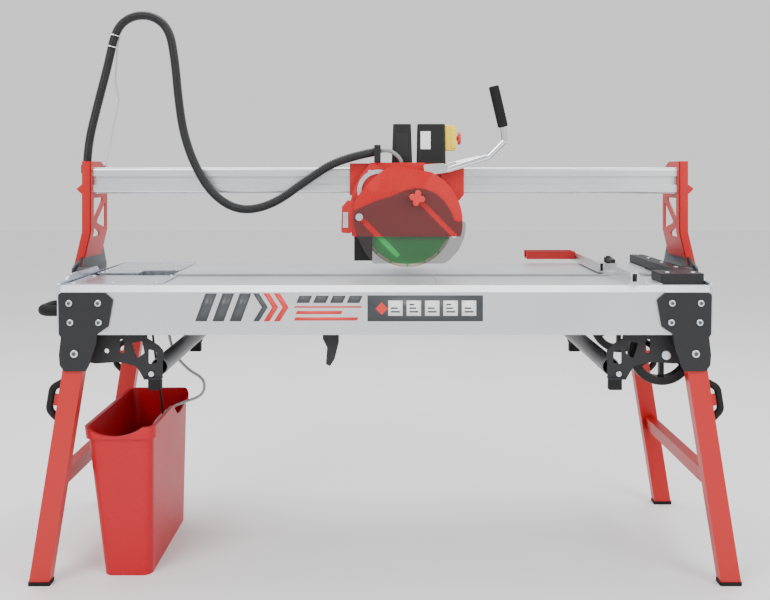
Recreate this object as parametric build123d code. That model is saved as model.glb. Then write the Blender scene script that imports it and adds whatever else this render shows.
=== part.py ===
from build123d import *
import math
import os

# Rail tile saw on folding legs: a long aluminium table, a guide beam carried above it
# by two tilting posts, a saw head that travels along the beam, and a water bucket.
# Millimetres. +X along the cut, +Y from front to back, +Z up, floor at Z = 0.
# The model is drawn with Y = 0 on the table's front face, then moved by FRONT_Y.

# ---- driving dimensions ----
FRONT_Y = -345.0            # table front face, so that the origin is under the middle
TABLE_HALF = 812.0          # half the length of the table beams
TABLE_DEPTH = 610.0
TABLE_TOP = 750.0
BEAM_BOTTOM = 628.0
BEAM_DEEP = 66.0
CHAMFER = (20.0, 15.0)      # front bevel of the table beams, deep and high
END_THICK = 8.0
SLOT = (219.0, 276.0)       # blade slot in the table
PANEL_THICK = 12.0

BLADE_RADIUS = 125.0
BLADE_THICK = 2.4
BLADE_Y = 250.0             # blade plane, which is also the tilt axis
HEAD_X = 62.0
HEAD_Z = 898.0

BEAM_Y = (295.0, 355.0)     # guide beam
BEAM_Z = (974.5, 1049.0)
BEAM_HALF = 823.5

POST_WEB_X = 824.0
POST_SHEET = 5.0
POST_Y = (285.0, 436.0)
POST_TOP = 1066.0
POST_KINK_Z = 867.0
POST_FLARE = 24.0
STUD_DROP = 85.0            # tilt clamp stud, below the tilt axis

LEG_PIVOT = (775.0, 582.0)  # X and Z of the leg hinge bolts
LEG_SPLAY = 9.0             # degrees from upright
LEG_WIDE = 50.0
LEG_DEEP = 33.0
LEG_FRONT_Y = 1.0
LEG_WALL = 3.0
FOOT_PAD = 9.0
CROSSBAR_DROP = 331.0       # hinge to crossbar, along the leg
PIVOT_RADIUS = 6.0
PLATE_BOLTS = [(788.0, 708.0), (716.0, 708.0), (785.0, 660.0), (714.0, 660.0)]

SLED_Y = 40.0               # front face of the front sled bracket
SLED_SHEET = 5.0
SLED_TUBE = (575.0, 540.0, 22.0)
WHEEL_X = 715.0
WHEEL_Z = 570.0
WHEEL_RADIUS = 85.0
WHEEL_WIDE = 32.0
WHEEL_Y = 70.0              # front face of the front wheel
AXLE_RADIUS = 8.0

FENCE_X = (598.0, 618.0)
FENCE_Y = (284.0, 700.0)
FENCE_Z = (754.5, 782.0)
FENCE_PIVOT_Y = 330.0

HOSE_RADIUS = 12.5
TUBE_RADIUS = 4.0
CABLE_RADIUS = 3.0
RUN_CLEAR = 0.05            # radial clearance of pins in holes


# ---- drawing helpers ----
def block(x0, x1, y0, y1, z0, z1):
    centre = Pos((x0 + x1) / 2, (y0 + y1) / 2, (z0 + z1) / 2)
    return centre * Box(x1 - x0, y1 - y0, z1 - z0)


def rod_x(x0, x1, y, z, radius):
    return Pos((x0 + x1) / 2, y, z) * Rot(0, 90, 0) * Cylinder(radius, x1 - x0)


def rod_y(x, y0, y1, z, radius):
    return Pos(x, (y0 + y1) / 2, z) * Rot(90, 0, 0) * Cylinder(radius, y1 - y0)


def rod_z(x, y, z0, z1, radius):
    return Pos(x, y, (z0 + z1) / 2) * Cylinder(radius, z1 - z0)


def outline(points, radius=0.0):
    face = make_face(Polyline(*points, close=True))
    return fillet(face.vertices(), radius) if radius else face


def front_prism(face, y0, y1):
    plane = Plane(origin=(0, y1, 0), x_dir=(1, 0, 0), z_dir=(0, -1, 0))
    return extrude(plane * face, amount=y1 - y0)


def side_prism(face, x0, x1):
    plane = Plane(origin=(x0, 0, 0), x_dir=(0, 1, 0), z_dir=(1, 0, 0))
    return extrude(plane * face, amount=x1 - x0)


def top_prism(face, z0, z1):
    return extrude(Plane.XY.offset(z0) * face, amount=z1 - z0)


def mirror_x(shape):
    return mirror(shape, about=Plane.YZ)


def mirror_y(shape):
    return mirror(shape, about=Plane.XZ.offset(-TABLE_DEPTH / 2))


def group(shapes):
    return Compound([solid for shape in shapes for solid in shape.solids()])


def four_corners(shape):
    front = [shape, mirror_x(shape)]
    return front + [mirror_y(each) for each in front]


def bent_tube(points, radius):
    """Round tube along straight runs joined by arcs as large as the runs allow."""
    corners = [Vector(*point) for point in points]
    radii = []
    for before, corner, after in zip(corners, corners[1:], corners[2:]):
        turn = (corner - before).get_angle(after - corner)
        shorter = min((corner - before).length, (after - corner).length)
        radii.append(0.45 * shorter / math.tan(math.radians(turn) / 2))
    path = FilletPolyline(*points, radius=radii)
    section = Plane(origin=path @ 0, z_dir=path % 0) * Circle(radius)
    tube = sweep(section, path=path)
    expected = math.pi * radius ** 2 * path.length
    print("tube length", round(path.length), "radii", [round(each) for each in radii],
          "volume ratio", round(tube.volume / expected, 4))
    return tube


def end_bore(tip, before, radius):
    """Straight bore in line with the last run of a tube."""
    return Plane(origin=tip, z_dir=Vector(*tip) - Vector(*before)) * Cylinder(radius + 0.1, 40)


# ---- table frame ----
def table_beam():
    deep, high = CHAMFER
    outer = outline([(0, BEAM_BOTTOM), (BEAM_DEEP, BEAM_BOTTOM), (BEAM_DEEP, TABLE_TOP),
                     (deep, TABLE_TOP), (0, TABLE_TOP - high)])
    lower = outline([(4, 632), (62, 632), (62, 687), (4, 687)])
    upper = outline([(4, 691), (62, 691), (62, 746), (21.5, 746), (4, 733)])
    beam = side_prism(outer, -TABLE_HALF, TABLE_HALF)
    beam -= side_prism(lower, -TABLE_HALF - 1, TABLE_HALF + 1)
    beam -= side_prism(upper, -TABLE_HALF - 1, TABLE_HALF + 1)
    for side in (-1, 1):
        for x, z in PLATE_BOLTS:
            beam -= rod_y(side * x, -1, 5, z, 5 + RUN_CLEAR)
    return beam


PLATE_OUTLINE = [(-816, 729), (-809, 734), (-699, 734), (-679, 716), (-691, 649),
                 (-719, 630), (-721, 608), (-739, 553), (-747, 538), (-801, 538),
                 (-812, 553), (-814, 579), (-809, 623), (-814, 630)]


def leg_plate():
    plate = front_prism(outline(PLATE_OUTLINE, 4), -5, 0)
    for x, z in PLATE_BOLTS:
        plate -= rod_y(-x, -6, 1, z, 5 + RUN_CLEAR)
    return plate - rod_y(-LEG_PIVOT[0], -6, 1, LEG_PIVOT[1], PIVOT_RADIUS + RUN_CLEAR)


def end_plate():
    face = outline([(0, BEAM_BOTTOM), (TABLE_DEPTH, BEAM_BOTTOM), (TABLE_DEPTH, 753),
                    (325, 755), (300, 771), (125, 771), (70, 768), (55, 760), (0, 757)], 3)
    outer = -TABLE_HALF - END_THICK
    plate = side_prism(face, outer, -TABLE_HALF)
    plate -= rod_x(outer - 1, 1 - TABLE_HALF, BLADE_Y, TABLE_TOP, 8 + RUN_CLEAR)
    wedge = [(BLADE_Y, TABLE_TOP)]
    for degrees in (-4, 14, 32, 49):
        angle = math.radians(degrees)
        wedge.append((BLADE_Y + 130 * math.sin(angle), TABLE_TOP - 130 * math.cos(angle)))
    ring = rod_x(outer - 1, 1 - TABLE_HALF, BLADE_Y, TABLE_TOP, STUD_DROP + 5.2)
    ring -= rod_x(outer - 2, 2 - TABLE_HALF, BLADE_Y, TABLE_TOP, STUD_DROP - 5.2)
    return plate - (ring & side_prism(outline(wedge), outer - 3, 3 - TABLE_HALF))


def domed_bolt(x, y_seat, z, head, shank, length):
    """Bolt with a low domed head whose face points to the front."""
    dome = rod_y(x, y_seat - 5, y_seat, z, head)
    dome = fillet(dome.edges().sort_by(Axis.Y)[0], 2.5)
    return dome + rod_y(x, y_seat, y_seat + length, z, shank)


def frame_bolts():
    corner = [domed_bolt(-x, -5, z, 8.5, 5, 9.5) for x, z in PLATE_BOLTS]
    hinge = domed_bolt(-LEG_PIVOT[0], -5, LEG_PIVOT[1], 10, PIVOT_RADIUS, SLED_Y + 18)
    hinge += rod_y(-LEG_PIVOT[0], SLED_Y + SLED_SHEET, SLED_Y + 13, LEG_PIVOT[1], 10)
    sled = domed_bolt(-594, SLED_Y, 522, 7.5, 4, 9)
    shapes = []
    for bolt in corner + [hinge, sled]:
        shapes += four_corners(bolt)
    far = WHEEL_Y + WHEEL_WIDE
    axle = domed_bolt(WHEEL_X, SLED_Y, WHEEL_Z, 12, AXLE_RADIUS, far + 8 - SLED_Y)
    axle += rod_y(WHEEL_X, SLED_Y + SLED_SHEET, WHEEL_Y - 0.5, WHEEL_Z, 13)
    axle += rod_y(WHEEL_X, far + 0.5, far + 8, WHEEL_Z, 13)
    return group(shapes + [axle, mirror_y(axle)])


def panel(x0, x1, y0, y1, grooves):
    plate = block(x0, x1, y0, y1, TABLE_TOP - PANEL_THICK, TABLE_TOP)
    for y in grooves:
        plate -= block(x0 - 1, x1 + 1, y - 1, y + 1, TABLE_TOP - 3, TABLE_TOP + 1)
    return plate


def front_panels():
    left = panel(-565, 133, BEAM_DEEP + 0.3, SLOT[0], [118, 168])
    right = panel(134.5, 800, BEAM_DEEP + 0.3, SLOT[0], [118, 168])
    return group([left, right])


def back_panel():
    return panel(-590, 800, SLOT[1], TABLE_DEPTH - BEAM_DEEP - 0.3, [391])


def cover_plates():
    front = block(-806, -567, 24, 215, TABLE_TOP, TABLE_TOP + 3)
    middle = block(-806, -690, 282, 342, TABLE_TOP, TABLE_TOP + 3)
    back = block(-806, -592, 346, 600, TABLE_TOP, TABLE_TOP + 3)
    tray_lid = block(-800, -570, 68, 212, TABLE_TOP - PANEL_THICK, TABLE_TOP)
    back_lid = block(-800, -595, 346, 542, TABLE_TOP - PANEL_THICK, TABLE_TOP)
    middle_lid = block(-800, -694, 284, 342, TABLE_TOP - PANEL_THICK, TABLE_TOP)
    return group([front + tray_lid, middle + middle_lid, back + back_lid])


def fence_bases():
    front = block(612, 700, 22, 215, TABLE_TOP, TABLE_TOP + 4)
    back = top_prism(outline([(612, 280), (734, 280), (764, 420), (764, 600), (612, 600)], 3),
                     TABLE_TOP, TABLE_TOP + 4)
    bar = block(620, 640, 24, 186, TABLE_TOP + 4, TABLE_TOP + 32)
    bar -= block(619, 622.5, 23, 187, TABLE_TOP + 13, TABLE_TOP + 20)
    bar -= block(625, 637, 23, 187, TABLE_TOP + 8, TABLE_TOP + 28)
    return group([front + bar, back])


def right_end_cover():
    shape = outline([(702, 36), (811, 36), (811, 600), (768, 600), (768, 130), (702, 130)], 4)
    inner = outline([(705, 39), (808, 39), (808, 597), (771, 597), (771, 127), (705, 127)])
    cover = top_prism(shape, TABLE_TOP, TABLE_TOP + 27)
    return cover - top_prism(inner, TABLE_TOP - 1, TABLE_TOP + 24)


def table_screws():
    spots = [(-790, 34), (-690, 34), (-580, 34), (-790, 200), (-580, 200), (-794, 292),
             (-700, 292), (-794, 332), (-700, 332), (-794, 358), (-604, 358), (-794, 590),
             (-700, 590), (-604, 590)]
    screws = [rod_z(x, y, TABLE_TOP + 3, TABLE_TOP + 6, 6) for x, y in spots]
    plate = [(664, 34), (688, 200), (690, 292), (690, 590), (626, 590)]
    screws += [rod_z(x, y, TABLE_TOP + 4, TABLE_TOP + 7, 6) for x, y in plate]
    rail = [(724, 60), (790, 60), (790, 200), (790, 330), (790, 460), (790, 585)]
    screws += [rod_z(x, y, TABLE_TOP + 27, TABLE_TOP + 30, 6) for x, y in rail]
    return group([fillet(each.edges().sort_by(Axis.Z)[-1], 1.5) for each in screws])


def water_tray():
    base, lip = 670, TABLE_TOP - PANEL_THICK
    tray = block(-798, 798, 68, 542, base, lip - 3)
    tray -= block(-796, 796, 70, 540, base + 2, lip)
    tray += block(-798, 798, BEAM_DEEP, 90, lip - 3, lip)
    tray += block(-798, 798, 520, TABLE_DEPTH - BEAM_DEEP, lip - 3, lip)
    for y in (200, 290):
        tray += block(-796, 796, y, y + 4, base + 2, lip)
    tray -= block(-600, -560, 199, 205, base + 2, base + 12)
    tray -= block(-600, -560, 289, 295, base + 2, base + 12)
    spout = rod_z(-680, 180, 610, base, 20)
    tray = tray + spout - rod_z(-680, 180, 600, base + 3, 17)
    for route, radius in ((PUMP_TUBE_ROUTE, TUBE_RADIUS), (PUMP_CABLE_ROUTE, CABLE_RADIUS)):
        tray -= end_bore(route[0], route[1], radius)
    return tray


# ---- short stand under the table ----
def sled_bracket():
    face = outline([(-811, BEAM_BOTTOM), (-811, 560), (-737, 548), (-677, 552), (-636, 542),
                    (-628, 534), (-613, 508), (-569, 508), (-565, 522), (-565, 581),
                    (-576, 594), (-605, 612), (-605, BEAM_BOTTOM)])
    back = SLED_Y + SLED_SHEET
    plate = front_prism(face, SLED_Y, back)
    windows = [[(-675, 574), (-675, 610), (-663, 610), (-663, 574)],
               [(-645, 600), (-618, 606), (-612, 575), (-632, 560)],
               [(-602, 585), (-582, 579), (-580, 550), (-602, 546)]]
    for window in windows:
        plate -= front_prism(outline(window, 4), SLED_Y - 1, back + 1)
    plate -= rod_y(-LEG_PIVOT[0], SLED_Y - 1, back + 1, LEG_PIVOT[1], PIVOT_RADIUS + RUN_CLEAR)
    plate -= rod_y(-594, SLED_Y - 1, back + 1, 522, 4 + RUN_CLEAR)
    plate += block(-811, -605, back, BEAM_DEEP, BEAM_BOTTOM - 3, BEAM_BOTTOM)
    return plate + block(-613, -569, SLED_Y - 4, 62, 508, 512)


def leg_catch():
    hook = outline([(-158, BEAM_BOTTOM), (-118, BEAM_BOTTOM), (-118, 600), (-128, 560),
                    (-140, 542), (-150, 548), (-147, 590), (-158, 612)], 2)
    return front_prism(hook, 36, 60)


def sled_brackets():
    """Pressed side plates that carry the hinges, the wheels and the low stand."""
    y0, y1 = SLED_Y - 1, SLED_Y + SLED_SHEET + 1
    left = sled_bracket() - rod_y(-708, y0, y1, 580, 6.2)
    right = mirror_x(sled_bracket())
    right -= rod_y(WHEEL_X, y0, y1, WHEEL_Z, AXLE_RADIUS + RUN_CLEAR)
    front = [left, right, leg_catch()]
    return group(front + [mirror_y(shape) for shape in front])


def sled_tubes():
    x, z, radius = SLED_TUBE
    end = SLED_Y + SLED_SHEET
    tube = rod_y(-x, end, TABLE_DEPTH - end, z, radius)
    tube -= rod_y(-x, end - 1, TABLE_DEPTH - end + 1, z, radius - 2.5)
    return group([tube, mirror_x(tube)])


def sled_feet():
    foot = block(-603, -570, 36, 62, 481.6, 508)
    foot = fillet(foot.edges().filter_by(Axis.Z), 5)
    return group(four_corners(foot))


def carry_handles():
    """Two tubular handles on the left end of the table."""
    reach = TABLE_HALF + END_THICK
    path = FilletPolyline((-reach, 45, 682), (-reach - 57, 45, 682),
                          (-reach - 57, 150, 682), (-reach, 150, 682), radius=25)
    bar = sweep(Plane(origin=path @ 0, z_dir=path % 0) * Circle(14), path=path)
    for y in (45, 150):
        bar += rod_x(-reach - 5, -reach, y, 682, 20)
    return group([bar, mirror_y(bar)])


# ---- folding legs ----
def leg_at(shape):
    """Place a part drawn on an upright leg whose hinge is at the origin."""
    return Pos(-LEG_PIVOT[0], 0, LEG_PIVOT[1]) * Rot(0, LEG_SPLAY, 0) * shape


def leg_length():
    return LEG_PIVOT[1] / math.cos(math.radians(LEG_SPLAY))


def leg_tube():
    half = LEG_WIDE / 2
    y1 = LEG_FRONT_Y + LEG_DEEP
    low = -leg_length() - 30
    tube = block(-half, half, LEG_FRONT_Y, y1, low, 0) + rod_y(0, LEG_FRONT_Y, y1, 0, half)
    core = half - LEG_WALL
    tube -= block(-core, core, LEG_FRONT_Y + LEG_WALL, y1 - LEG_WALL, low - 10, -60)
    tube -= rod_y(0, 0, y1 + 1, 0, PIVOT_RADIUS + RUN_CLEAR)
    tab = block(-half - 13, -half, 14, 20, -141, -112)
    return leg_at(tube + tab) - block(-1200, 0, -50, 100, -100, FOOT_PAD)


def leg_frame():
    y1 = LEG_FRONT_Y + LEG_DEEP
    bar = leg_at(block(-13, 13, y1, TABLE_DEPTH - y1, -CROSSBAR_DROP - 20, -CROSSBAR_DROP + 20))
    inner = block(-10, 10, y1 - 1, TABLE_DEPTH, -CROSSBAR_DROP - 17, -CROSSBAR_DROP + 17)
    front = leg_tube()
    return front + mirror_y(front) + (bar - leg_at(inner))


def leg_feet():
    """Rubber pads under the ends of the leg tubes."""
    pad = block(-893.5, -838.5, -1, 36, 0, FOOT_PAD)
    pad = fillet(pad.edges().filter_by(Axis.Z), 4)
    return group([pad, mirror_y(pad)])


def leg_grips():
    """Curved hand loop on the outer side of each leg, near its top."""
    half = LEG_WIDE / 2
    path = FilletPolyline((-half, 17, -81), (-half - 22, 17, -98), (-half - 22, 17, -154),
                          (-half, 17, -171), radius=20)
    loop = sweep(Plane(origin=path @ 0, z_dir=path % 0) * Circle(9), path=path)
    grip = leg_at(loop - block(-half, half, 0, 40, -220, -40))
    return group([grip, mirror_y(grip)])


# ---- transport wheels ----
def transport_wheel():
    y0, y1 = WHEEL_Y, WHEEL_Y + WHEEL_WIDE
    rim = rod_y(0, y0, y1, 0, WHEEL_RADIUS)
    rim = fillet(rim.edges().filter_by(GeomType.CIRCLE), 8)
    rim -= rod_y(0, y0 - 1, y1 + 1, 0, WHEEL_RADIUS - 22)
    hub = rod_y(0, y0, y1, 0, 19)
    for step in range(6):
        spoke = block(-6, 6, y0 + 8, y1 - 8, 12, WHEEL_RADIUS - 20)
        hub += Rot(0, 60 * step, 0) * spoke
    wheel = rim + hub - rod_y(0, y0 - 1, y1 + 1, 0, AXLE_RADIUS + RUN_CLEAR)
    return Pos(WHEEL_X, 0, WHEEL_Z) * wheel


# ---- tilting bridge ----
def bent_strip(offset, thick, z_low):
    """Sheet profile seen from the front: upright, then flaring outwards below the kink."""
    x = -POST_WEB_X - offset
    slope = POST_FLARE / (POST_KINK_Z - 765)
    points = [(x, POST_TOP), (x, POST_KINK_Z)]
    low = max(z_low, 765)
    points.append((x - slope * (POST_KINK_Z - low), low))
    if z_low < 765:
        points.append((x - POST_FLARE, z_low))
    return outline(points + [(px - thick, pz) for px, pz in reversed(points)])


def left_post():
    y0, y1 = POST_Y
    web = front_prism(bent_strip(0, POST_SHEET, 795), y0, y1)
    side = outline([(y0, 795), (y1, 795), (y1, POST_TOP - 58), (y1 - 22, POST_TOP - 16),
                    (y1 - 60, POST_TOP), (y0, POST_TOP)])
    web &= side_prism(side, -900, -800)
    holes = [[(309, 962), (400, 962), (309, 900)], [(418, 950), (418, 872), (330, 892)],
             [(309, 882), (309, 852), (390, 852)]]
    for hole in holes:
        web -= side_prism(outline(hole, 5), -900, -800)
    for y, z in BEAM_BOLTS:
        web -= rod_x(-835, -820, y, z, 4 + RUN_CLEAR)
    flange = front_prism(bent_strip(3, 22, 757), y0 - POST_SHEET, y0)
    ear = outline([(-848, 1002), (-848, 972), (-865, 988)], 2)
    lug = front_prism(ear, y0 - POST_SHEET, y0)
    return web + flange + lug - post_foot()


BEAM_BOLTS = [(308.0, 987.0), (342.0, 987.0), (342.0, 1037.0), (325.0, 1007.0)]


def post_foot():
    x = -POST_WEB_X - POST_FLARE
    side = outline([(285, 830), (436, 830), (527, 762), (527, 738), (440, 700), (385, 655),
                    (350, 640), (235, 640), (222, 655), (222, 775), (285, 800)], 4)
    upper = front_prism(bent_strip(POST_SHEET, 6, 765), 200, 540)
    lower = block(x - 11, x - 5, 200, 540, 600, 765)
    plate = (upper + lower) & side_prism(side, -900, -800)
    plate += rod_x(x - 11, -TABLE_HALF - END_THICK - 0.4, BLADE_Y, TABLE_TOP, 25)
    plate -= rod_x(x - 12, -800, BLADE_Y, TABLE_TOP, 8 + RUN_CLEAR)
    return plate - rod_x(x - 12, -800, BLADE_Y, TABLE_TOP - STUD_DROP, 5 + RUN_CLEAR)


def guide_beam():
    y0, y1 = BEAM_Y
    z0, z1 = BEAM_Z
    middle = (z0 + z1) / 2
    face = outline([(y0, z0), (y1, z0), (y1, z1), (y0, z1)], 9)
    for y in (y0, y1):
        face -= Pos(y, middle) * Rectangle(20, 24)
    hollows = [outline([(y0 + 4, z0 + 9), (y0 + 9, z0 + 4), (y1 - 9, z0 + 4), (y1 - 4, z0 + 9),
                        (y1 - 4, middle - 16), (y0 + 4, middle - 16)]),
               outline([(y0 + 4, z1 - 9), (y0 + 9, z1 - 4), (y1 - 9, z1 - 4), (y1 - 4, z1 - 9),
                        (y1 - 4, middle + 16), (y0 + 4, middle + 16)]),
               outline([(y0 + 14, middle - 12), (y1 - 14, middle - 12), (y1 - 14, middle + 12),
                        (y0 + 14, middle + 12)])]
    for hollow in hollows:
        for y, z in BEAM_BOLTS:
            hollow -= Pos(y, z) * Circle(9.7)
        face -= hollow
    beam = side_prism(face, -BEAM_HALF, BEAM_HALF)
    for y, z in BEAM_BOLTS:
        for side in (-1, 1):
            start, stop = sorted((side * (BEAM_HALF + 1), side * (BEAM_HALF - 22)))
            beam -= rod_x(start, stop, y, z, 4 + RUN_CLEAR)
    return beam


def bridge_bolts():
    """Hinge pins of the bridge, and the bolts that hold the beam between the posts."""
    x = -POST_WEB_X - POST_FLARE
    pin = rod_x(x - 11, -TABLE_HALF, BLADE_Y, TABLE_TOP, 8)
    pin += rod_x(x - 18, x - 11, BLADE_Y, TABLE_TOP, 13)
    shapes = [pin]
    web = -POST_WEB_X - POST_SHEET
    for y, z in BEAM_BOLTS:
        shapes.append(rod_x(web - 6, web, y, z, 7) + rod_x(web, 20 - BEAM_HALF, y, z, 4))
    return group(shapes + [mirror_x(shape) for shape in shapes])


HOSE_ROUTE = [(-845, 312, 1044), (-842, 310, 1110), (-815, 304, 1215), (-781, 297, 1335),
              (-757, 292, 1440), (-709, 288, 1476), (-649, 285, 1474), (-604, 282, 1435),
              (-588, 279, 1347), (-578, 277, 1240), (-563, 275, 1140), (-528, 272, 1045),
              (-475, 270, 965), (-400, 268, 925), (-310, 266, 945), (-215, 264, 1015),
              (-125, 262, 1073), (-26, 262, 1092)]


def hose_wire():
    """Spring wire that stands on the beam and holds the hose up with two rings."""
    path = FilletPolyline((-794, 325, 1052), (-754, 312, 1238), (-762, 304, 1290),
                          (-753.5, 294.6, 1384.6), (-746, 293, 1416.6), radius=5)
    wire = sweep(Plane(origin=path @ 0, z_dir=path % 0) * Circle(2), path=path)
    wire += rod_z(-794, 325, 1049, 1055, 5)
    for x, y, z in ((-769, 294.5, 1388), (-761.4, 293, 1420)):
        wire += Pos(x, y, z) * Rot(0, 12.5, 0) * Torus(16, 1.7)
    return wire


def hose_gland():
    x, y, z = HOSE_ROUTE[0]
    gland = rod_z(x, y, z - 12, z + 12, 16) + rod_z(x, y, z - 20, z - 12, 12)
    socket = end_bore(HOSE_ROUTE[0], HOSE_ROUTE[1], HOSE_RADIUS)
    return gland - (socket & block(x - 20, x + 20, y - 20, y + 20, z - 1, z + 20))


def tilt_knob():
    x = -POST_WEB_X - POST_FLARE - 11
    z = TABLE_TOP - STUD_DROP
    knob = rod_x(x - 28, x - 4, BLADE_Y, z, 22)
    for step in range(6):
        angle = math.radians(60 * step)
        knob -= rod_x(x - 29, x - 3, BLADE_Y + 27 * math.sin(angle), z + 27 * math.cos(angle), 9)
    knob += rod_x(x - 4, x - 0.5, BLADE_Y, z, 12) + rod_x(x - 5, -802, BLADE_Y, z, 5)
    return knob + rod_x(-811.5, -802, BLADE_Y, z, 9)


# ---- carriage ----
def carriage_body():
    left, right = HEAD_X - 161, HEAD_X + 159
    front = front_prism(outline([(left, 1060), (right, 1060), (right, 970), (left, 970)]),
                        286, 294)
    end_block = front_prism(outline([(150, 1060), (right - 16, 1060), (right, 1043),
                                     (right, 972), (right - 14, 955), (150, 955)], 5), 280, 286)
    body = front + end_block + block(-60, right, 286, 366, 1052, 1060)
    body += block(-60, right, 358, 366, 975, 1052)
    for x in (-45, 157):
        body += block(x, x + 12, 273, 286, 975, 1058)
    for x in (-90, 150):
        body += block(x, x + 50, 294, 303, 1001, 1023)
    for x in (-50, 150):
        body += block(x, x + 50, 347, 358, 1001, 1023)
    return body


def hose_clamp():
    """Plastic saddle that grips the end of the hose on top of the carriage."""
    x, y, z = HOSE_ROUTE[-1]
    clamp = block(x - 4, x + 14, y - 19, 300, 1063.5, z + 19)
    clamp = fillet(clamp.edges().filter_by(Axis.X), 4)
    clamp += block(x - 4, x + 14, 286, 300, 1060, 1075)
    return clamp - end_bore(HOSE_ROUTE[-1], HOSE_ROUTE[-2], HOSE_RADIUS)


def tapered_box(x0, x1, y0, y1, z0, z1, taper, corner):
    base = Plane.XY.offset(z0) * Pos((x0 + x1) / 2, (y0 + y1) / 2)
    low = base * RectangleRounded(x1 - x0, y1 - y0, corner)
    high = Pos(0, 0, z1 - z0) * base * RectangleRounded(x1 - x0 - 2 * taper, y1 - y0 - 2 * taper, corner)
    return loft([low, high])


def capacitor_box():
    box = tapered_box(19, 77, 288, 352, 1060, 1171, 4, 7)
    return fillet(box.faces().sort_by(Axis.Z)[-1].edges(), 2)


def switch_box():
    box = tapered_box(90, 171, 288, 352, 1060, 1171, 2, 7)
    return fillet(box.faces().sort_by(Axis.Z)[-1].edges(), 2)


def stop_cover():
    cover = block(165, 198, 300, 342, 1096, 1168)
    cover = fillet(cover.edges().filter_by(Axis.X), 4)
    lip = block(187, 201, 297, 345, 1101, 1160)
    lip = fillet(lip.edges().filter_by(Axis.X), 5)
    return cover + lip - rod_x(184, 205, 321, 1131, 6.5 + RUN_CLEAR) - switch_box()


def stop_button():
    stem = rod_x(191, 207, 321, 1131, 6.5)
    cap = rod_x(206.6, 215, 321, 1131, 18)
    return stem + fillet(cap.edges().sort_by(Axis.X)[-1], 3)


# ---- saw head ----
def front_shell_outline(shrink=0.0):
    turn = [math.radians(degrees) for degrees in (-15.3, 24.0, 64.0)]
    radius = 152 - shrink
    start, middle, stop = [(radius * math.cos(a), radius * math.sin(a)) for a in turn]
    crest = (-40, 158 - shrink)
    side = (-147 + shrink, 54)
    edges = [ThreePointArc(start, middle, stop), Line(stop, crest),
             ThreePointArc(crest, (-98 + shrink * 0.7, 117 - shrink * 0.7), side),
             Polyline(side, (-150 + shrink, start[1]), start)]
    return make_face(Wire([edge for each in edges for edge in each.edges()]))


def rear_shell_outline():
    turn = [math.radians(degrees) for degrees in (-15.3, 24.0, 64.0)]
    start, middle, stop = [(152 * math.cos(a), 152 * math.sin(a)) for a in turn]
    edges = [ThreePointArc(start, middle, stop), Polyline(stop, (47, 164), (-102, 164), (-112, 150)),
             ThreePointArc((-112, 150), (-147, 95), (-160, 28)),
             Polyline((-160, 28), (-154, start[1]), start)]
    return make_face(Wire([edge for each in edges for edge in each.edges()]))


def head_place(shape):
    return Pos(HEAD_X, 0, HEAD_Z) * shape


def front_shell():
    shell = front_prism(front_shell_outline(), 236, 262)
    shell -= front_prism(front_shell_outline(3.0), 239, 263)
    shell -= block(-146.5, 142.5, 239, 263, -60, -20)
    rib = front_prism(outline([(-92, 72), (-42, 146), (8, 146), (-30, 88)], 3), 235.2, 236)
    return head_place(shell + rib - rod_y(25.5, 230, 240, 66, 6.6 + RUN_CLEAR))


def rear_shell():
    shell = front_prism(rear_shell_outline(), 262, 276)
    shell -= front_prism(front_shell_outline(3.0), 261, 268)
    shell -= block(-147, 143, 261, 268, -60, -20)
    shell -= rod_y(0, 260, 280, 0, 20)
    for x in (-45 - HEAD_X, 157 - HEAD_X):
        shell -= block(x - 0.5, x + 12.5, 272.6, 277, 20, 170)
    return head_place(shell)


def head_fittings():
    """Steel pieces on the head: stop ring, its screw, guard bolt, bracket plate."""
    ring = rod_y(-81, 257, 262, 86.5, 58) - rod_y(-81, 256, 263, 86.5, 46)
    ring &= front_prism(rear_shell_outline(), 250, 262)
    ring -= front_prism(front_shell_outline(), 250, 263)
    screw = rod_y(-104, 257, 262, 138, 5.5)
    screw -= front_prism(front_shell_outline(), 250, 263)
    guard_bolt = rod_y(-132.7, 229.6, 236, 13.7, 6.6)
    guard_bolt += rod_y(-132.7, 224, 229.6, 13.7, 10)
    plate = block(-178, -164, 238.5, 242, -16, 27)
    return head_place(group([ring + screw, guard_bolt, plate]))


def motor():
    barrel = rod_y(0, 276, 292, 0, 45) + rod_y(0, 290, 440, 0, 62)
    for step in range(24):
        barrel += Rot(0, 15 * step, 0) * block(-2, 2, 296, 424, 58, 68)
    barrel += rod_y(0, 290, 298, 0, 66)
    cowl = rod_y(0, 424, 478, 0, 69) - rod_y(0, 432, 474, 0, 65)
    for step in range(8):
        angle = math.radians(45 * step)
        cowl -= rod_y(36 * math.cos(angle), 470, 480, 36 * math.sin(angle), 9)
    motor_body = barrel + cowl + block(-30, 30, 320, 400, 56, 68)
    return head_place(motor_body - rod_y(0, 275, 300, 0, 8 + RUN_CLEAR))


GRIP_START = Vector(326.5, 243.5, 1158)
GRIP_WAY = Vector(-27.5, -7.5, 114).normalized()


def handle_tube():
    path = FilletPolyline((140, 252, 1033), (170, 250, 1041), (285, 246, 1077),
                          (330, 244, 1122), GRIP_START, GRIP_START + GRIP_WAY * 22, radius=12)
    tube = sweep(Plane(origin=path @ 0, z_dir=path % 0) * Circle(9), path=path)
    brace = FilletPolyline((160, 261, 1050), (196, 262, 1062), (262, 250, 1076), radius=20)
    tube += sweep(Plane(origin=brace @ 0, z_dir=brace % 0) * Circle(5), path=brace)
    bracket = front_prism(outline([(106, 1056), (110, 1026), (168, 1034), (176, 1050),
                                   (160, 1060)], 4), 240, 262)
    bracket -= front_prism(outline([(124, 1080), (130, 1040), (200, 1050), (190, 1080)]),
                           243.5, 258.5)
    return bracket + tube - head_place(front_prism(front_shell_outline(-0.05), 230, 262))


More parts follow.
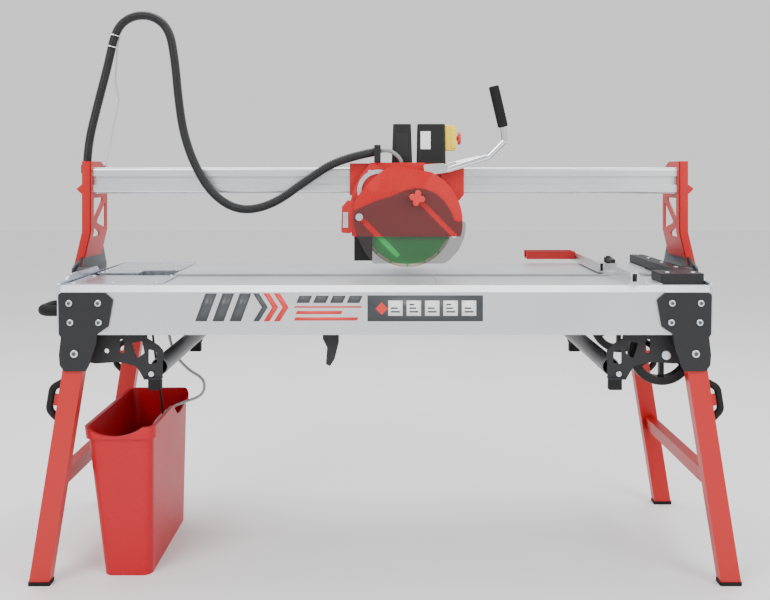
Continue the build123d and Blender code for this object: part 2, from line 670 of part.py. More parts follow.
def handle_grip():
    run = Plane(origin=GRIP_START, z_dir=GRIP_WAY)
    grip = run * Pos(0, 0, 60) * Cylinder(14, 116)
    grip = fillet(grip.edges().filter_by(GeomType.CIRCLE), 4)
    return grip - run * Pos(0, 0, 11) * Cylinder(9, 22)


def flap_bracket():
    face = outline([(-181, 42), (-166, 59), (-146, 58), (-139, 36), (-139, 2), (-146, -24),
                    (-160, -32), (-183, -30)], 4)
    bracket = front_prism(face, 242, 268)
    bracket -= front_prism(front_shell_outline(), 235, 262)
    bracket -= front_prism(rear_shell_outline(), 262, 277)
    return head_place(bracket)


def rubber_flap():
    return head_place(block(-147, -97, 240.5, 244.5, -107, -32))


def blade():
    disc = rod_y(0, BLADE_Y - BLADE_THICK / 2, BLADE_Y + BLADE_THICK / 2, 0, BLADE_RADIUS)
    return head_place(disc - rod_y(0, 240, 260, 0, 12.5))


def arbor():
    shaft = rod_y(0, 240.6, 296, 0, 8)
    shaft += rod_y(0, BLADE_Y - BLADE_THICK / 2, BLADE_Y + BLADE_THICK / 2, 0, 12.5)
    shaft += rod_y(0, 244, BLADE_Y - BLADE_THICK / 2, 0, 28)
    shaft += rod_y(0, BLADE_Y + BLADE_THICK / 2, 262, 0, 28)
    nut = front_prism(RegularPolygon(14, 6), 240.6, 244)
    return head_place(shaft + nut)


GUARD_OUTLINE = [(-149, 29), (-124, 43), (-84, 59), (-40, 73), (-7, 87), (21, 93), (48, 91),
                 (76, 80), (100, 59), (117, 34), (130, 3), (159, 0), (160, -18), (155, -45),
                 (140, -78), (114, -106), (100, -114), (-93, -114), (-114, -89), (-137, -45),
                 (-149, -7)]
GUARD_TRAVEL = 140.0
GUARD_BOLTS = [(-132.7, 13.7), (25.5, 66.0)]


def guard_slot(x, z):
    """Diagonal slot that starts on a fixed bolt and runs down to the right."""
    half = GUARD_TRAVEL / 2 + 3
    centre = Pos(x + half * math.sqrt(0.5), z - half * math.sqrt(0.5))
    slot = SlotCenterToCenter(2 * half, 14)
    return front_prism(centre * Rot(0, 0, -45) * slot, 228, 236)


def clear_guard():
    guard = front_prism(outline(GUARD_OUTLINE, 2), 230, 233)
    guard += rod_y(27.5, 232, 234.2, 0, 92) - rod_y(27.5, 231, 235, 0, 88)
    for x, z in GUARD_BOLTS:
        guard -= guard_slot(x, z)
    return head_place(guard)


def guard_knob():
    x, z = GUARD_BOLTS[1]
    knob = rod_y(x, 208, 226, z, 13)
    for step in range(4):
        angle = math.radians(90 * step + 12)
        lobe = rod_y(x + 13 * math.sin(angle), 208, 224, z + 13 * math.cos(angle), 9)
        knob += fillet(lobe.edges().sort_by(Axis.Y)[0], 3)
    return head_place(knob + rod_y(x, 224, 229.6, z, 11) + rod_y(x, 229, 238.6, z, 6.6))


# ---- fence ----
def fence_slide_bar():
    x0, x1 = FENCE_X
    y0, y1 = FENCE_Y
    bar = block(x0, x1, y0, y1, FENCE_Z[0], FENCE_Z[1])
    bar -= block(x0 - 1, x0 + 3, y0 - 1, y1 + 1, 764, 772)
    bar -= block(x1 - 4, x1 + 1, y0 - 1, y1 + 1, 764, 770)
    return bar - block(x0 + 6, x1 - 6, y0 - 1, y1 + 1, 758, 779)


def fence_clamp_block():
    body = block(FENCE_X[1] + 0.4, 655, 300, 360, 754.4, 778)
    body += block(FENCE_X[1] - 3.4, FENCE_X[1] + 1, 300, 360, 764.5, 769.5)
    return body - rod_z(637, FENCE_PIVOT_Y, 760, 780, 5 + RUN_CLEAR)


def fence_lever():
    lever = rod_z(637, FENCE_PIVOT_Y, 778.4, 792, 12) + rod_z(637, FENCE_PIVOT_Y, 764, 779, 5)
    arm = top_prism(outline([(628, 330), (646, 330), (641, 262), (630, 262)], 3), 782, 792)
    return lever + arm + rod_z(637, FENCE_PIVOT_Y, 791, 796, 7)


def fence_stop_arm():
    arm = block(446, FENCE_X[0], 600, 660, 762, 786)
    return arm - block(445, FENCE_X[0] - 6, 605, 655, 766, 787)


# ---- bucket and pump ----
BUCKET_HIGH = 385.0


def bucket_loft(shrink, z_low, z_high):
    """Tapered tub with an upright inner side and a sloping outer side."""
    rings = []
    for z in (z_low, z_high):
        share = z / BUCKET_HIGH
        x0, x1 = -722 - 43 * share + shrink, -600 + 6 * share - shrink
        y0, y1 = 62 - 17 * share + shrink, 466 + 16 * share - shrink
        spot = Plane.XY.offset(z) * Pos((x0 + x1) / 2, (y0 + y1) / 2)
        rings.append(spot * RectangleRounded(x1 - x0, y1 - y0, 24 - shrink / 2))
    return loft(rings)


def bucket():
    tub = bucket_loft(0, 0, BUCKET_HIGH) + bucket_loft(-6, BUCKET_HIGH - 30, BUCKET_HIGH)
    tub -= bucket_loft(4, 5, BUCKET_HIGH + 4)
    tub -= rod_y(-690, 20, 100, BUCKET_HIGH + 96, 120)
    return tub - rod_x(-630, -560, 375, BUCKET_HIGH + 110, 155)


def pump():
    body = block(-705, -640, 240, 330, 5, 85)
    body = fillet(body.edges().filter_by(Axis.Z), 10)
    foot = block(-709, -636, 236, 334, 5, 13)
    body += foot + rod_z(-680, 280, 85, 103, 7) + rod_z(-664, 272, 85, 97, 5)
    for route, radius in ((PUMP_TUBE_ROUTE, TUBE_RADIUS), (PUMP_CABLE_ROUTE, CABLE_RADIUS)):
        body -= end_bore(route[-1], route[-2], radius)
    return body


PUMP_TUBE_ROUTE = [(-640, 400, 673), (-640, 400, 620), (-634, 400, 560), (-618, 400, 503),
                   (-575, 400, 455), (-535, 400, 434), (-526, 399, 406), (-539, 398, 379),
                   (-587, 395, 364), (-632, 390, 345), (-668, 380, 312), (-688, 360, 262),
                   (-692, 335, 196), (-687, 305, 136), (-680, 280, 95)]
PUMP_CABLE_ROUTE = [(-650, 250, 673), (-645, 250, 600), (-635, 250, 520), (-624, 250, 440),
                    (-614, 251, 370), (-614, 255, 300), (-630, 262, 222), (-652, 268, 150),
                    (-664, 272, 90)]


def build():
    os.makedirs("parts", exist_ok=True)
    frame = leg_frame()
    feet = leg_feet()
    grips = leg_grips()
    post = left_post()
    knob = tilt_knob()
    wheel = transport_wheel()
    plate = end_plate()
    foot = post_foot()
    nodes = {
        "front_beam": table_beam(),
        "back_beam": mirror_y(table_beam()),
        "end_plates": group([plate, mirror_x(plate)]),
        "leg_plates": group(four_corners(leg_plate())),
        "frame_bolts": frame_bolts(),
        "front_panels": front_panels(),
        "back_panel": back_panel(),
        "cover_plates": cover_plates(),
        "fence_bases": fence_bases(),
        "fence_clamp_block": fence_clamp_block(),
        "right_end_cover": right_end_cover(),
        "table_screws": table_screws(),
        "water_tray": water_tray(),
        "sled_brackets": sled_brackets(),
        "sled_tubes": sled_tubes(),
        "sled_feet": sled_feet(),
        "carry_handles": carry_handles(),
        "left_post": post,
        "right_post": mirror_x(post),
        "post_feet": group([foot, mirror_x(foot)]),
        "guide_beam": guide_beam(),
        "hose_wire": hose_wire(),
        "bridge_bolts": bridge_bolts(),
        "hose_gland": hose_gland(),
        "left_tilt_knob": knob,
        "right_tilt_knob": mirror_x(knob),
        "carriage_body": carriage_body(),
        "hose_clamp": hose_clamp(),
        "capacitor_box": capacitor_box(),
        "switch_box": switch_box(),
        "stop_cover": stop_cover(),
        "stop_button": stop_button(),
        "rear_shell": rear_shell(),
        "front_shell": front_shell(),
        "motor": motor(),
        "head_fittings": head_fittings(),
        "handle_tube": handle_tube(),
        "handle_grip": handle_grip(),
        "flap_bracket": flap_bracket(),
        "rubber_flap": rubber_flap(),
        "blade": blade(),
        "arbor": arbor(),
        "clear_guard": clear_guard(),
        "guard_knob": guard_knob(),
        "left_leg_frame": frame,
        "left_leg_feet": feet,
        "left_leg_grips": grips,
        "right_leg_frame": mirror_x(frame),
        "right_leg_feet": mirror_x(feet),
        "right_leg_grips": mirror_x(grips),
        "front_wheel": wheel,
        "rear_wheel": mirror_y(wheel),
        "fence_slide_bar": fence_slide_bar(),
        "fence_stop_arm": fence_stop_arm(),
        "fence_lever": fence_lever(),
        "bucket": bucket(),
        "pump": pump(),
        "pump_tube": bent_tube(PUMP_TUBE_ROUTE, TUBE_RADIUS),
        "pump_cable": bent_tube(PUMP_CABLE_ROUTE, CABLE_RADIUS),
        "hose": bent_tube(HOSE_ROUTE, HOSE_RADIUS),
    }
    for name, shape in nodes.items():
        export_step(Pos(0, FRONT_Y, 0) * shape, f"parts/{name}.step")


build()
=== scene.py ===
import math

import bmesh
import bpy
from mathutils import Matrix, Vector


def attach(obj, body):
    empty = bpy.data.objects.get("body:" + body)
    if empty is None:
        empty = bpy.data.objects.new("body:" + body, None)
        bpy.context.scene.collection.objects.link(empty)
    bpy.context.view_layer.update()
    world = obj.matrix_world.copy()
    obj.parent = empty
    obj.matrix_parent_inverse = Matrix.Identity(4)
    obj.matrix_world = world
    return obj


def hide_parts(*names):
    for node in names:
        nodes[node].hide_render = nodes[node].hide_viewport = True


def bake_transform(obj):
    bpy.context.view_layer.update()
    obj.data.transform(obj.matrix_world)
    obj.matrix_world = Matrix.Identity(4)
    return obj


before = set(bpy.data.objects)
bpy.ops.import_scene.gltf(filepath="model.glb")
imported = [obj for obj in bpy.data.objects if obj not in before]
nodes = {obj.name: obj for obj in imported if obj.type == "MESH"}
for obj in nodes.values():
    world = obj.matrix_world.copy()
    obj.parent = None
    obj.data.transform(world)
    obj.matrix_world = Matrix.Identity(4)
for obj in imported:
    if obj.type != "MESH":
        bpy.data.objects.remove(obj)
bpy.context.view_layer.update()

FRONT = -0.345              # the table's front face; depths below are measured from it
MM = 0.001
CAMERA_DISTANCE = 2.33      # metres in front of the table
CAMERA_HEIGHT = 1.033
RIB_PITCH = 0.005           # hose ribs, metres
SEGMENTS = 16               # on the blade's rim
GRIP_RINGS = 14
BAND_BOXES = 5


def at(x, depth, z):
    """Millimetres, with depth behind the table's front face, to a point in the frame."""
    return Vector((x * MM, FRONT + depth * MM, z * MM))


# ---- camera ----
camera = bpy.data.objects.new("camera", bpy.data.cameras.new("camera"))
bpy.context.scene.collection.objects.link(camera)
camera.location = (0.0, FRONT - CAMERA_DISTANCE, CAMERA_HEIGHT)
camera.rotation_euler = (math.radians(90), 0, 0)
camera.data.lens = 43.57
camera.data.sensor_width = 36.0
camera.data.shift_y = -0.165
camera.data.clip_end = 60.0
bpy.context.scene.camera = camera


# ---- mesh helpers ----
def mesh_object(name, verts, faces, smooth=True):
    mesh = bpy.data.meshes.new(name)
    mesh.from_pydata([tuple(v) for v in verts], [], faces)
    mesh.validate()
    mesh.update()
    for polygon in mesh.polygons:
        polygon.use_smooth = smooth
    obj = bpy.data.objects.new(name, mesh)
    bpy.context.scene.collection.objects.link(obj)
    return obj


def bevel(obj, width, segments=2, angle=35):
    mod = obj.modifiers.new("bevel", "BEVEL")
    mod.width = width
    mod.segments = segments
    mod.limit_method = "ANGLE"
    mod.angle_limit = math.radians(angle)
    mod.harden_normals = True
    return obj


def join(name, objects):
    """Several meshes as one piece, modifiers applied."""
    merged = bmesh.new()
    depsgraph = bpy.context.evaluated_depsgraph_get()
    for obj in objects:
        mesh = bpy.data.meshes.new_from_object(obj.evaluated_get(depsgraph))
        mesh.transform(obj.matrix_world)
        merged.from_mesh(mesh)
        bpy.data.objects.remove(obj)
    mesh = bpy.data.meshes.new(name)
    merged.to_mesh(mesh)
    merged.free()
    for polygon in mesh.polygons:
        polygon.use_smooth = True
    obj = bpy.data.objects.new(name, mesh)
    bpy.context.scene.collection.objects.link(obj)
    return obj


def slab(name, outline, depth, thick, edge=0.0):
    """Flat outline (x, z in mm) standing in the XZ plane, its front at the given depth."""
    count = len(outline)
    verts = [at(x, depth, z) for x, z in outline] + [at(x, depth + thick, z) for x, z in outline]
    faces = [list(range(count)), list(range(2 * count - 1, count - 1, -1))]
    for i in range(count):
        j = (i + 1) % count
        faces.append([j, i, i + count, j + count])
    obj = mesh_object(name, verts, faces, smooth=False)
    bm = bmesh.new()
    bm.from_mesh(obj.data)
    bmesh.ops.recalc_face_normals(bm, faces=bm.faces)
    bm.to_mesh(obj.data)
    bm.free()
    return bevel(obj, edge * MM) if edge else obj


def plate(name, x0, x1, d0, d1, z0, z1, edge=1.0):
    obj = slab(name, [(x0, z0), (x1, z0), (x1, z1), (x0, z1)], d0, d1 - d0)
    return bevel(obj, edge * MM) if edge else obj


def turned(name, profile, centre, axis, sides=32):
    """Profile of (distance along the axis, radius) in mm, spun about the axis."""
    axis = Vector(axis).normalized()
    turn = Vector((0, 0, 1)).rotation_difference(axis).to_matrix()
    verts, faces = [], []
    for along, radius in profile:
        for k in range(sides):
            angle = 2 * math.pi * k / sides
            point = Vector((radius * math.cos(angle), radius * math.sin(angle), along)) * MM
            verts.append(centre + turn @ point)
    for ring in range(len(profile) - 1):
        for k in range(sides):
            a, b = ring * sides + k, ring * sides + (k + 1) % sides
            faces.append([a, b, b + sides, a + sides])
    faces.append(list(range(sides))[::-1])
    faces.append([len(verts) - sides + k for k in range(sides)])
    obj = mesh_object(name, verts, faces)
    return bevel(obj, 0.0006, 2, 40)


def smooth_line(name, points):
    """Points along the NURBS line that has the given route as its control points."""
    data = bpy.data.curves.new(name, "CURVE")
    data.dimensions = "3D"
    data.resolution_u = 24
    spline = data.splines.new("NURBS")
    spline.points.add(len(points) - 1)
    for target, point in zip(spline.points, points):
        target.co = (*point, 1)
    spline.order_u = 3
    spline.use_endpoint_u = True
    holder = bpy.data.objects.new(name, data)
    bpy.context.scene.collection.objects.link(holder)
    mesh = bpy.data.meshes.new_from_object(holder)
    line = [v.co.copy() for v in mesh.vertices]
    bpy.data.objects.remove(holder)
    return line


def walk(line, step):
    """Evenly spaced points along a line, with the distance of each."""
    spots, travelled, wanted = [(line[0].copy(), 0.0)], 0.0, step
    for a, b in zip(line, line[1:]):
        run = (b - a).length
        while run > 0 and wanted <= travelled + run:
            spots.append((a.lerp(b, (wanted - travelled) / run), wanted))
            wanted += step
        travelled += run
    spots.append((line[-1].copy(), travelled))
    return spots


def tube(name, line, radius_at, step, sides=20):
    """Mesh tube along a line, its radius given by the distance along it."""
    spots = walk(line, step)
    if (spots[-1][0] - spots[-2][0]).length < step * 0.3:
        spots.pop(-2)
    verts, faces = [], []
    side = None
    for i, (spot, along) in enumerate(spots):
        ahead = spots[min(i + 1, len(spots) - 1)][0] - spots[max(i - 1, 0)][0]
        ahead.normalize()
        if side is None:
            side = ahead.orthogonal().normalized()
        side = (side - ahead * side.dot(ahead)).normalized()
        up = ahead.cross(side)
        radius = radius_at(along)
        for k in range(sides):
            angle = 2 * math.pi * k / sides
            verts.append(spot + (side * math.cos(angle) + up * math.sin(angle)) * radius)
    for ring in range(len(spots) - 1):
        for k in range(sides):
            a, b = ring * sides + k, ring * sides + (k + 1) % sides
            faces.append([a, b, b + sides, a + sides])
    faces.append(list(range(sides))[::-1])
    faces.append([len(verts) - sides + k for k in range(sides)])
    return mesh_object(name, verts, faces)


# ---- materials ----
def link(tree, a, b):
    tree.links.new(a, b)


def material(name, colour, rough, metal=0.0, tint=0.06, grain=90.0, stretch=(1, 1, 1),
             bump=0.08, depth=0.0004, blotch=3.0, spread=0.07, coat=0.0, wear=None,
             gloss=0.5):
    """Surface with fine grain, large soft variation, and bump; wear is a colour on edges."""
    mat = bpy.data.materials.new(name)
    mat.use_nodes = True
    tree = mat.node_tree
    shader = tree.nodes["Principled BSDF"]
    shader.inputs["Metallic"].default_value = metal
    shader.inputs["Coat Weight"].default_value = coat
    shader.inputs["Specular IOR Level"].default_value = gloss
    shader.inputs["Coat Roughness"].default_value = 0.12
    place = tree.nodes.new("ShaderNodeTexCoord")
    mapping = tree.nodes.new("ShaderNodeMapping")
    mapping.inputs["Scale"].default_value = stretch
    link(tree, place.outputs["Object"], mapping.inputs["Vector"])
    fine = tree.nodes.new("ShaderNodeTexNoise")
    fine.inputs["Scale"].default_value = grain
    fine.inputs["Detail"].default_value = 5.0
    link(tree, mapping.outputs["Vector"], fine.inputs["Vector"])
    broad = tree.nodes.new("ShaderNodeTexNoise")
    broad.inputs["Scale"].default_value = blotch
    broad.inputs["Detail"].default_value = 3.0
    link(tree, place.outputs["Object"], broad.inputs["Vector"])
    both = tree.nodes.new("ShaderNodeMix")
    both.inputs["Factor"].default_value = 0.5
    link(tree, fine.outputs["Fac"], both.inputs["A"])
    link(tree, broad.outputs["Fac"], both.inputs["B"])
    ramp = tree.nodes.new("ShaderNodeValToRGB")
    ramp.color_ramp.elements[0].position = 0.3
    ramp.color_ramp.elements[1].position = 0.7
    ramp.color_ramp.elements[0].color = [c * (1 - tint) for c in colour] + [1]
    ramp.color_ramp.elements[1].color = [min(1, c * (1 + tint)) for c in colour] + [1]
    link(tree, both.outputs["Result"], ramp.inputs["Fac"])
    shade = ramp.outputs["Color"]
    if wear:
        shade = edge_wear(tree, shade, wear)
    link(tree, shade, shader.inputs["Base Color"])
    span = tree.nodes.new("ShaderNodeMapRange")
    span.inputs["From Min"].default_value = 0.3
    span.inputs["From Max"].default_value = 0.7
    span.inputs["To Min"].default_value = max(0.02, rough - spread)
    span.inputs["To Max"].default_value = min(1.0, rough + spread)
    link(tree, both.outputs["Result"], span.inputs["Value"])
    link(tree, span.outputs["Result"], shader.inputs["Roughness"])
    lift = tree.nodes.new("ShaderNodeBump")
    lift.inputs["Strength"].default_value = bump
    lift.inputs["Distance"].default_value = depth
    link(tree, fine.outputs["Fac"], lift.inputs["Height"])
    link(tree, lift.outputs["Normal"], shader.inputs["Normal"])
    return mat


def edge_wear(tree, shade, colour):
    """Worn colour where the surface turns sharply."""
    shape = tree.nodes.new("ShaderNodeNewGeometry")
    sharp = tree.nodes.new("ShaderNodeMapRange")
    sharp.inputs["From Min"].default_value = 0.53
    sharp.inputs["From Max"].default_value = 0.60
    sharp.inputs["To Max"].default_value = 0.55
    link(tree, shape.outputs["Pointiness"], sharp.inputs["Value"])
    mix = tree.nodes.new("ShaderNodeMix")
    mix.data_type = "RGBA"
    link(tree, sharp.outputs["Result"], mix.inputs["Factor"])
    link(tree, shade, mix.inputs["A"])
    mix.inputs["B"].default_value = (*colour, 1)
    return mix.outputs["Result"]


LENGTHWISE = (0.02, 1, 1)
aluminium = material("brushed_aluminium", (0.66, 0.67, 0.69), 0.36, 0.9, 0.05, 900,
                     LENGTHWISE, 0.12, 0.0002)
beam_face = material("anodised_aluminium", (0.60, 0.61, 0.63), 0.40, 0.75, 0.03, 700,
                     LENGTHWISE, 0.10, 0.0002)
panel = material("table_aluminium", (0.60, 0.62, 0.64), 0.40, 0.75, 0.08, 500,
                 LENGTHWISE, 0.15, 0.0003)
zinc = material("zinc_plate", (0.62, 0.66, 0.72), 0.30, 0.95, 0.12, 40, bump=0.05, blotch=9)
chrome = material("chromed_steel", (0.74, 0.75, 0.77), 0.14, 1.0, 0.03, 60, bump=0.02)
black_steel = material("black_powder_coat", (0.008, 0.008, 0.009), 0.5, 0.0, 0.25, 600,
                       bump=0.25, depth=0.0003, wear=(0.03, 0.03, 0.032), gloss=0.22)
dark_steel = material("gray_powder_coat", (0.020, 0.023, 0.027), 0.45, 0.0, 0.18, 600,
                      bump=0.25, depth=0.0003, coat=0.1, wear=(0.12, 0.12, 0.13))
red_steel = material("red_powder_coat", (0.40, 0.003, 0.004), 0.38, 0.0, 0.07, 450,
                     bump=0.12, depth=0.0002, coat=0.05, wear=(0.47, 0.02, 0.02), gloss=0.3)
red_shell = material("red_moulded_shell", (0.46, 0.004, 0.004), 0.28, 0.0, 0.06, 350,
                     bump=0.06, depth=0.0002, coat=0.12, wear=(0.54, 0.02, 0.02), gloss=0.35)
red_tub = material("red_tub_plastic", (0.42, 0.002, 0.010), 0.42, 0.0, 0.10, 160,
                   bump=0.10, depth=0.0004, gloss=0.3)
red_knob = material("red_knob_plastic", (0.60, 0.02, 0.02), 0.35, 0.0, 0.05, 300)
black_plastic = material("black_moulded_plastic", (0.007, 0.007, 0.008), 0.42, 0.0, 0.2, 700,
                         bump=0.3, depth=0.0002, wear=(0.02, 0.02, 0.02), gloss=0.25)
box_plastic = material("grained_box_plastic", (0.011, 0.011, 0.012), 0.55, 0.0, 0.2, 1400,
                       bump=0.5, depth=0.0003, wear=(0.03, 0.03, 0.03), gloss=0.25)
rubber = material("black_rubber", (0.008, 0.008, 0.008), 0.66, 0.0, 0.25, 500, bump=0.3, gloss=0.2)
hose_rubber = material("hose_rubber", (0.005, 0.005, 0.006), 0.32, 0.0, 0.2, 300, bump=0.1,
                       gloss=0.35)
gray_tube = material("soft_gray_tube", (0.36, 0.37, 0.36), 0.28, 0.0, 0.10, 80, bump=0.05)
yellow = material("yellow_plastic", (0.85, 0.60, 0.02), 0.33, 0.0, 0.05, 300)
white = material("white_print", (0.80, 0.80, 0.79), 0.45, 0.0, 0.03, 200, bump=0.02)
print_red = material("red_print", (0.62, 0.02, 0.015), 0.4, 0.0, 0.04, 200, bump=0.02)
# dark print colour, also used as the painted shade in the bolt sockets
print_dark_and_socket_shade = material("dark_print_and_socket_shade", (0.045, 0.05, 0.055), 0.4, 0.0, 0.06, 200, bump=0.02)
gray_cable = material("gray_cable", (0.20, 0.205, 0.21), 0.4, 0.0, 0.1, 120)
motor_metal = material("cast_motor_aluminium", (0.16, 0.165, 0.17), 0.45, 0.6, 0.1, 260,
                       bump=0.25, wear=(0.3, 0.3, 0.31))
segment = material("diamond_segment", (0.62, 0.54, 0.40), 0.6, 0.1, 0.2, 900, bump=0.6)
blade_green = material("painted_blade", (0.025, 0.46, 0.09), 0.34, 0.0, 0.05, 60, coat=0.3)
smoke = material("smoked_clear_plastic", (0.05, 0.045, 0.045), 0.07, 0.0, 0.03, 20, bump=0.0)
smoke.node_tree.nodes["Principled BSDF"].inputs["Alpha"].default_value = 0.36
floor_paint = material("studio_floor", (0.93, 0.93, 0.935), 0.6, 0.0, 0.01, 3, bump=0.0)

CAD_LOOKS = {
    beam_face: ["front_beam", "back_beam"],
    aluminium: ["fence_bases", "guide_beam", "fence_clamp_block", "fence_slide_bar"],
    panel: ["front_panels", "back_panel"],
    zinc: ["end_plates", "frame_bolts", "cover_plates", "table_screws", "bridge_bolts",
           "head_fittings", "arbor"],
    chrome: ["handle_tube", "hose_wire"],
    black_steel: ["leg_plates", "sled_brackets", "water_tray", "right_end_cover"],
    dark_steel: ["sled_tubes", "post_feet"],
    red_steel: ["left_post", "right_post", "left_leg_frame", "right_leg_frame",
                "fence_stop_arm", "flap_bracket"],
    red_shell: ["carriage_body", "rear_shell", "front_shell"],
    red_tub: ["bucket"],
    red_knob: ["stop_button", "guard_knob"],
    black_plastic: ["hose_gland", "hose_clamp", "left_tilt_knob", "right_tilt_knob",
                    "front_wheel", "rear_wheel", "fence_lever", "pump"],
    box_plastic: ["capacitor_box", "switch_box"],
    rubber: ["sled_feet", "carry_handles", "handle_grip", "rubber_flap", "left_leg_feet",
             "right_leg_feet", "left_leg_grips", "right_leg_grips"],
    yellow: ["stop_cover"],
    motor_metal: ["motor"],
    blade_green: ["blade"],
    smoke: ["clear_guard"],
}
for look, names in CAD_LOOKS.items():
    for node in names:
        mesh = nodes[node].data
        mesh.materials.clear()
        mesh.materials.append(look)


def finish_piece(piece, body, look):
    """Gives a piece its material and its body; a bending piece has no body yet."""
    piece.data.materials.clear()
    piece.data.materials.append(look)
    if body:
        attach(piece, body)
    return piece


# ---- water hose, pump tube and pump cable ----
HOSE_ROUTE = [(-845, 312, 1044), (-842, 310, 1110), (-815, 304, 1215), (-781, 297, 1335),
              (-757, 292, 1440), (-709, 288, 1476), (-649, 285, 1474), (-604, 282, 1435),
              (-588, 279, 1347), (-578, 277, 1240), (-563, 275, 1140), (-528, 272, 1045),
              (-475, 270, 965), (-400, 268, 925), (-310, 266, 945), (-215, 264, 1015),
              (-125, 262, 1073), (-26, 262, 1092)]
PUMP_TUBE_ROUTE = [(-640, 400, 673), (-640, 400, 620), (-634, 400, 560), (-618, 400, 503),
                   (-575, 400, 455), (-535, 400, 434), (-526, 399, 406), (-539, 398, 379),
                   (-587, 395, 364), (-632, 390, 345), (-668, 380, 312), (-688, 360, 262),
                   (-692, 335, 196), (-687, 305, 136), (-680, 280, 95)]
PUMP_CABLE_ROUTE = [(-650, 250, 673), (-645, 250, 600), (-635, 250, 520), (-624, 250, 440),
                    (-614, 251, 370), (-614, 255, 300), (-630, 262, 222), (-652, 268, 150),
                    (-664, 272, 90)]


def corrugated(along):
    """Hose radius along its length: rounded ribs between narrow grooves."""
    wave = 0.5 + 0.5 * math.cos(2 * math.pi * along / RIB_PITCH)
    return 0.0107 + 0.0018 * wave ** 0.6


hose_line = smooth_line("hose_line", [at(*p) for p in HOSE_ROUTE])
hose = tube("hose_cover", hose_line, corrugated, 0.00125, 24)
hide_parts("hose")
finish_piece(hose, None, hose_rubber)
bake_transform(hose)

for name, node, route, radius, look, slot in (
        ("pump_tube_soft", "pump_tube", PUMP_TUBE_ROUTE, 0.004, gray_tube, "clear_tube"),
        ("pump_cable_soft", "pump_cable", PUMP_CABLE_ROUTE, 0.003, rubber, "rubber")):
    line = smooth_line(name + "_line", [at(*p) for p in route])
    piece = tube(name, line, lambda along: radius, 0.004, 16)
    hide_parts(node)
    finish_piece(piece, None, look)
    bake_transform(piece)


# ---- printed band on the front beam: plain shapes only ----
def printed(name, shapes, look):
    parts = [slab(name, shape, -0.25, 0.3) for shape in shapes]
    return finish_piece(join(name, parts), "table", look)


def slanted(x0, x1, z0, z1, lean):
    """A bar whose top is shifted sideways by lean."""
    return [(x0, z0), (x1, z0), (x1 + lean, z1), (x0 + lean, z1)]


def chevron(x, z0, z1, width, lean):
    """A bar bent at mid height, its point leaning to the right."""
    mid = (z0 + z1) / 2
    return [(x, z0), (x + width, z0), (x + width + lean, mid), (x + width, z1), (x, z1),
            (x + lean, mid)]


printed("band_dark", [
    slanted(-475, -446, 662, 732, 26), slanted(-432, -403, 662, 732, 26),
    slanted(-389, -360, 662, 732, 26), chevron(-330, 662, 732, 15, 22),
    slanted(-44, 245, 662, 727, 0)], print_dark_and_socket_shade)
printed("band_red", [
    chevron(-304, 662, 732, 15, 22), chevron(-278, 662, 732, 15, 22),
    slanted(-228, -60, 696, 700, 3), slanted(-228, -70, 664, 672, 4),
    slanted(-224, -110, 680, 688, 4)], print_red)
printed("band_dark_bars", [slanted(-222 + 42 * k, -190 + 42 * k, 708, 726, 8)
                           for k in range(4)], print_dark_and_socket_shade)
frames = [plate("mark", 8 + 46 * k, 44 + 46 * k, -0.5, 0.1, 676, 714, 0)
          for k in range(BAND_BOXES)]
finish_piece(join("band_boxes", frames), "table", white)
marks = []
for k in range(BAND_BOXES):
    x = 26 + 46 * k
    for row in range(2 + k % 2):
        marks.append(plate("mark", x - 11, x + 11 - 5 * row, -0.7, 0, 684 + 9 * row,
                           688 + 9 * row, 0))
finish_piece(join("band_marks", marks), "table", print_dark_and_socket_shade)
diamond = slab("band_diamond", [(-24, 694), (-8, 678), (7, 694), (-8, 710)], -0.6, 0.5)
finish_piece(diamond, "table", print_red)


# ---- blade rim ----
HEAD = (62, 898)
rim = []
for k in range(SEGMENTS):
    a0 = 2 * math.pi * k / SEGMENTS + 0.02
    a1 = 2 * math.pi * (k + 1) / SEGMENTS - 0.02
    angles = [a0 + (a1 - a0) * i / 6 for i in range(7)]
    ring = [(HEAD[0] + 125 * math.cos(a), HEAD[1] + 125 * math.sin(a)) for a in angles]
    ring += [(HEAD[0] + 117 * math.cos(a), HEAD[1] + 117 * math.sin(a)) for a in angles[::-1]]
    rim.append(slab("rim", ring, 248.6, 2.8))
finish_piece(join("blade_rim", rim), "blade", segment)


# ---- small parts on the head and the carriage ----
grip_rings = []
start = at(326.5, 243.5, 1158)
way = Vector((-27.5, -7.5, 114)).normalized()
for k in range(GRIP_RINGS):
    grip_rings.append(turned("ring", [(0, 13.6), (0.6, 14.6), (2.4, 14.6), (3, 13.6)],
                             start + way * (0.016 + 0.0065 * k), way))
finish_piece(join("grip_rings", grip_rings), "saw_head", rubber)

finish_piece(plate("switch_label", 100, 128, 287.4, 289, 1100, 1150, 0), "carriage", white)
finish_piece(plate("box_panel", 30, 66, 288.2, 290, 1078, 1144, 2), "carriage", box_plastic)

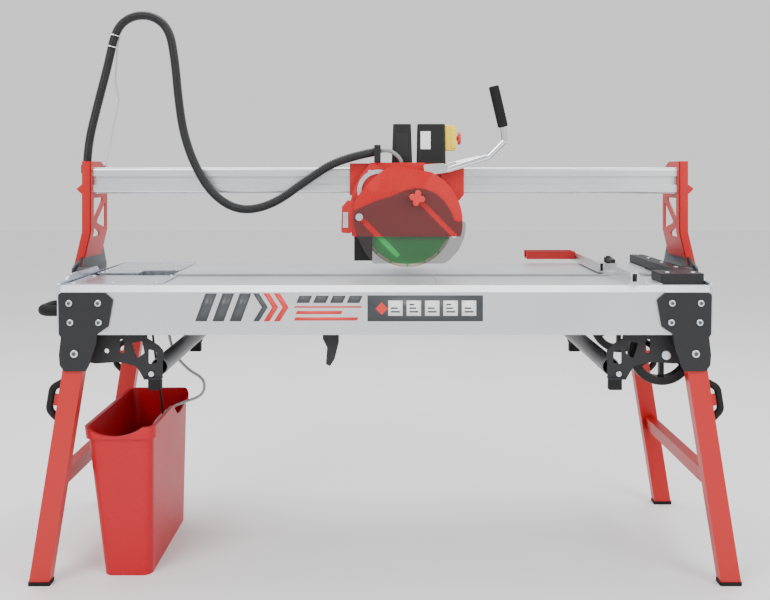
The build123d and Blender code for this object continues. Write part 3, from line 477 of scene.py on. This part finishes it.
cable_line = smooth_line("feed", [at(-13, 262, 1094), at(8, 262, 1098), at(30, 264, 1086),
                                  at(44, 266, 1070), at(46, 268, 1062)])
cable = tube("feed_cable", cable_line, lambda along: 0.0055, 0.003, 16)
finish_piece(cable, "carriage", gray_cable)


def socket_shade_hexagon(x, depth, z, radius):
    """Thin dark hexagon, flush in a bolt's head: painted shade standing in for the socket's
    recess.
    """
    points = [(x + radius * math.cos(math.pi * k / 3), z + radius * math.sin(math.pi * k / 3))
              for k in range(6)]
    return slab("socket", points, depth, 0.3)


# painted shade: flat dark hexagons stand in for the shaded socket recesses of the bolt heads
socket_shades = []
for side in (-1, 1):
    for x, z, size in ((788, 708, 4.6), (716, 708, 4.6), (785, 660, 4.6), (714, 660, 4.6),
                       (775, 582, 5.5)):
        for depth in (-10.04, 619.74):
            socket_shades.append(socket_shade_hexagon(side * x, depth, z, size))
finish_piece(join("bolt_socket_painted_shade", socket_shades), "table", print_dark_and_socket_shade)

for node in ("front_shell", "rear_shell", "carriage_body", "left_post", "right_post",
             "post_feet", "leg_plates", "left_leg_frame", "right_leg_frame", "flap_bracket",
             "fence_stop_arm", "right_end_cover", "sled_brackets", "hose_clamp", "pump",
             "left_leg_feet", "right_leg_feet", "front_wheel", "rear_wheel"):
    bevel(nodes[node], 0.0012, 2, 40)


# ---- studio ----
def area_light(name, location, target, size, power):
    data = bpy.data.lights.new(name, "AREA")
    data.shape = "RECTANGLE"
    data.size, data.size_y = size
    data.energy = power
    lamp = bpy.data.objects.new(name, data)
    lamp.location = location
    lamp.rotation_euler = (Vector(target) - Vector(location)).to_track_quat("-Z", "Y").to_euler()
    bpy.context.scene.collection.objects.link(lamp)


world = bpy.data.worlds.new("studio")
bpy.context.scene.world = world
world.use_nodes = True
world.node_tree.nodes["Background"].inputs["Color"].default_value = (1, 1, 1, 1)
world.node_tree.nodes["Background"].inputs["Strength"].default_value = 1.0
area_light("key", (-2.2, -3.2, 3.4), (0, 0, 0.8), (2.4, 1.6), 130)
area_light("fill", (2.6, -3.0, 2.6), (0, 0, 0.8), (2.0, 2.0), 85)
area_light("top", (0, 0.6, 3.8), (0, 0, 0.7), (3.6, 2.0), 120)
ground = mesh_object("floor", [(-14, -9, -0.0004), (14, -9, -0.0004), (14, 14, -0.0004),
                               (-14, 14, -0.0004)], [[0, 1, 2, 3]], smooth=False)
ground.data.materials.append(floor_paint)
